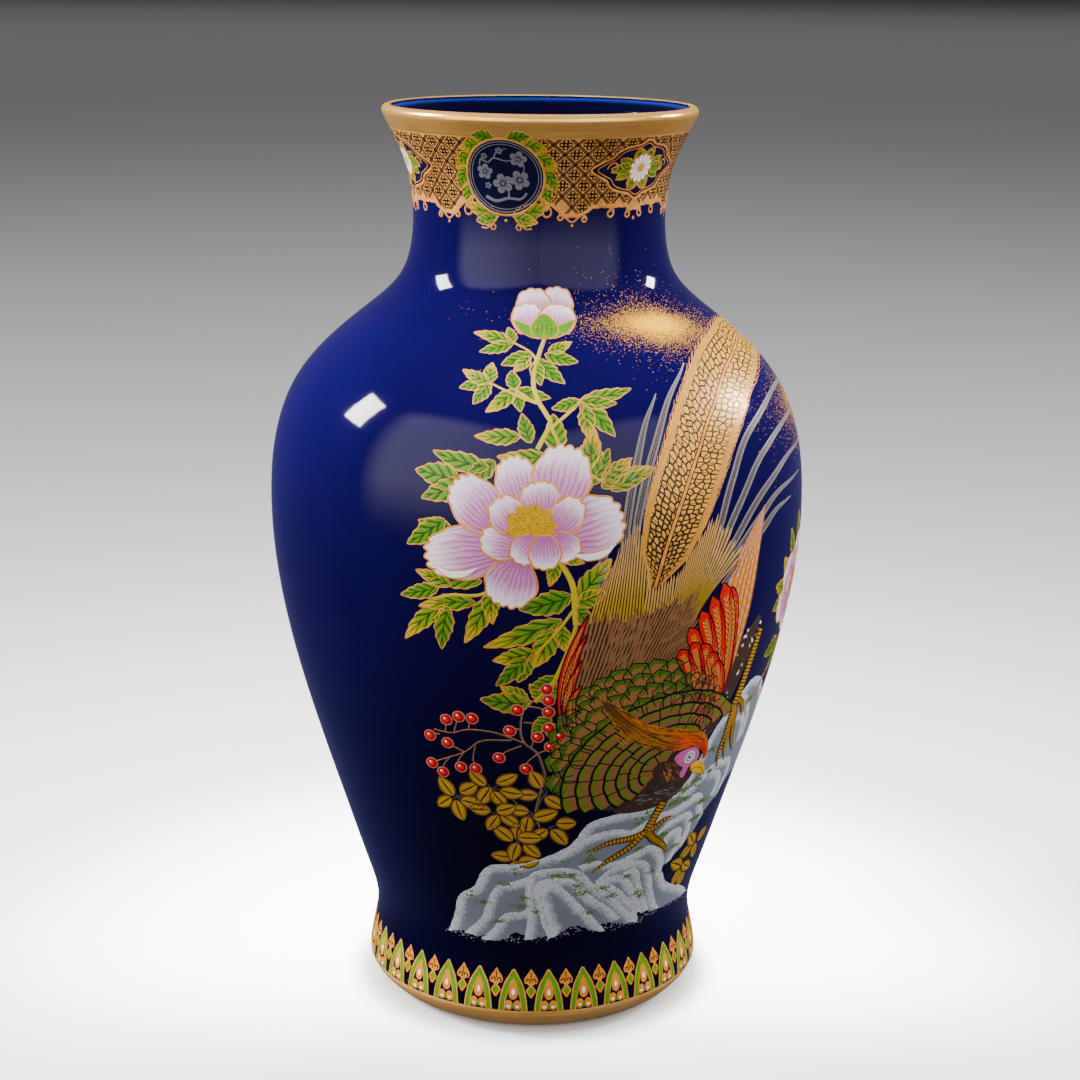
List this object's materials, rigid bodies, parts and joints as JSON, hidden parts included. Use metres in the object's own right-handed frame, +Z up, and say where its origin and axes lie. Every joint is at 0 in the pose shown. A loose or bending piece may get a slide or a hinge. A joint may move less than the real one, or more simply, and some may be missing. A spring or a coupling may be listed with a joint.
{
  "type": "mantel urn",
  "caption": "Baluster-shaped glazed porcelain urn with a rounded shoulder, waisted neck, flared open mouth and a spreading foot; hollow, for the mantel or for cut flowers.",
  "frame": {"origin": "centre of the standing ring, on the plane that the urn stands on", "axes": "+Z up along the turned axis, towards the mouth; -Y faces the viewer, in front of the painted picture"},
  "size_m": [0.1834, 0.1834, 0.31],
  "materials": {
    "cobalt_glaze": "high gloss deep cobalt glaze with gilt bands and overglaze enamel painting"
  },
  "bodies": {
    "root": {"urn_body": "cobalt_glaze"}
  },
  "joints": []
}
